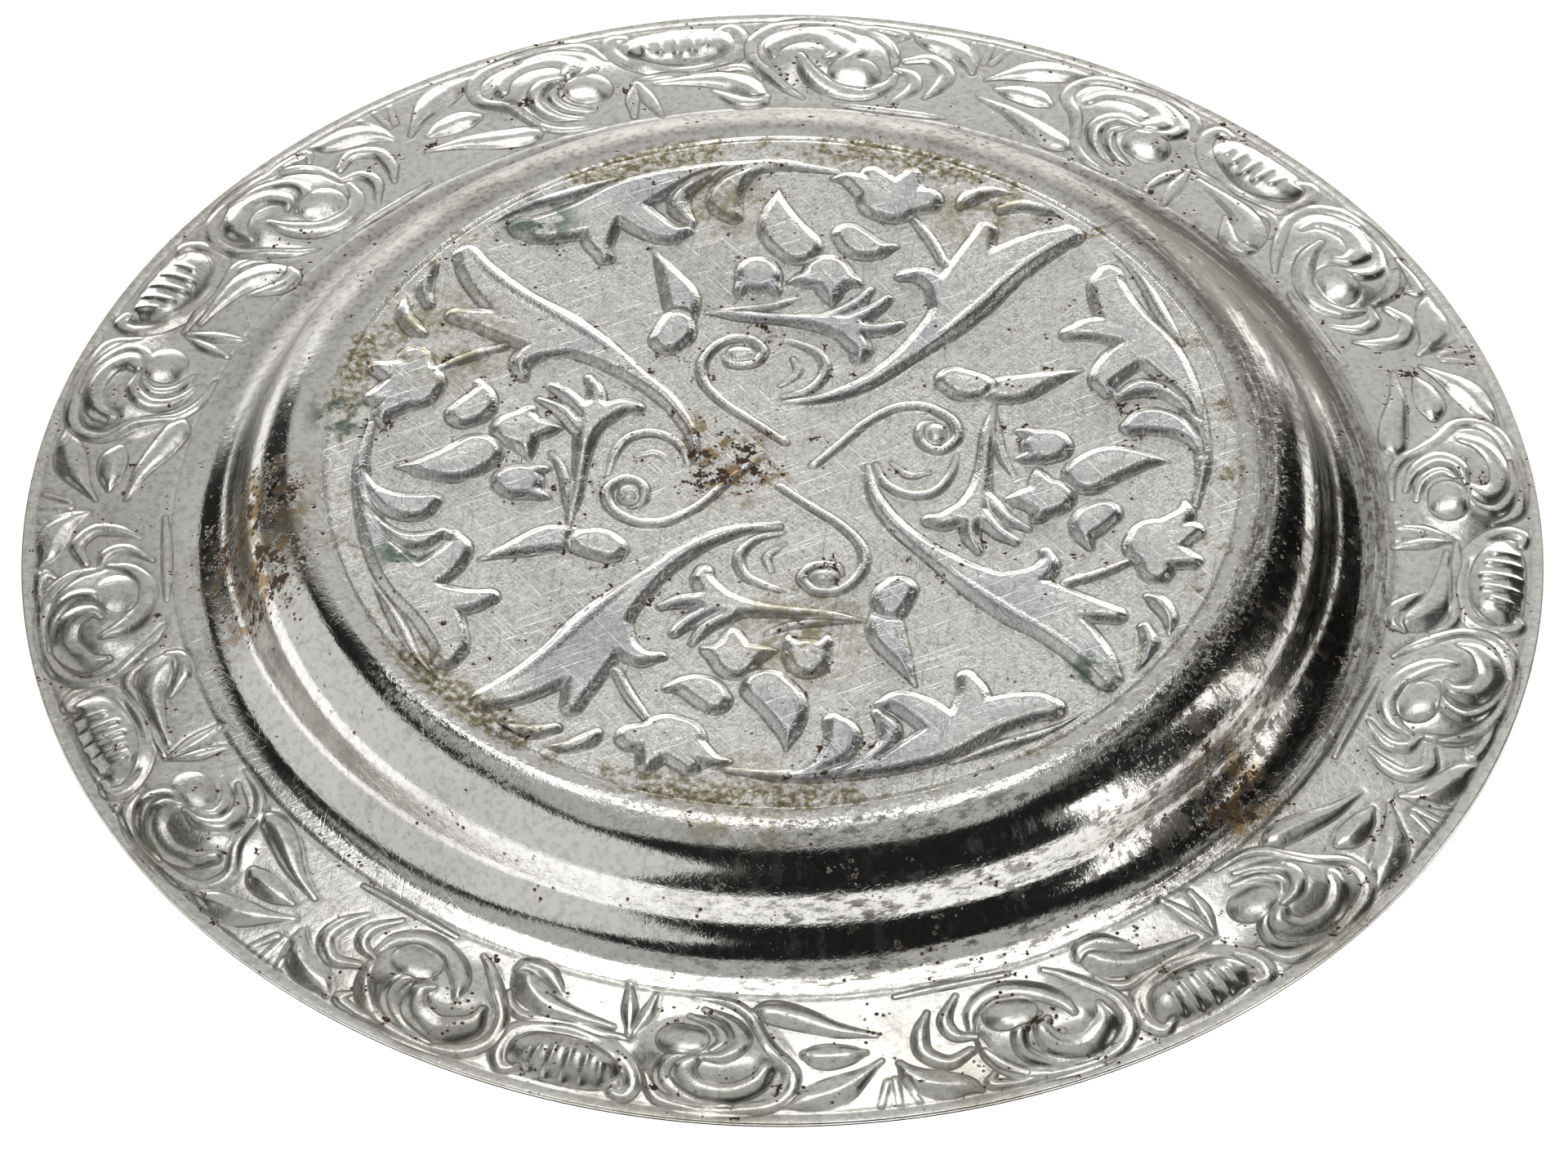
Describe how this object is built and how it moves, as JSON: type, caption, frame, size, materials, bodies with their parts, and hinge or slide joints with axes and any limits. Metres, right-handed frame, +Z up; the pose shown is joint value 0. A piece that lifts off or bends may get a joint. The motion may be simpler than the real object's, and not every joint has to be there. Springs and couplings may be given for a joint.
{
  "type": "offering plate",
  "caption": "Round pressed metal offering plate with a raised flat centre, a smooth curved wall and a broad rim, both centre and rim embossed with scrolling leaves.",
  "frame": {"origin": "centre of the plane that the rim's edge rests on, in the middle of the plate", "axes": "+Z up out of the raised centre, across the plate's thin way; +X and +Y lie in the resting plane, with the pattern of the centre field turned as it lies when +Y points away"},
  "size_m": [0.15, 0.15, 0.0127],
  "materials": {
    "plated_metal": "worn silver plate over copper alloy, tarnished in the hollows"
  },
  "bodies": {
    "root": {"plate": "plated_metal"}
  },
  "joints": []
}
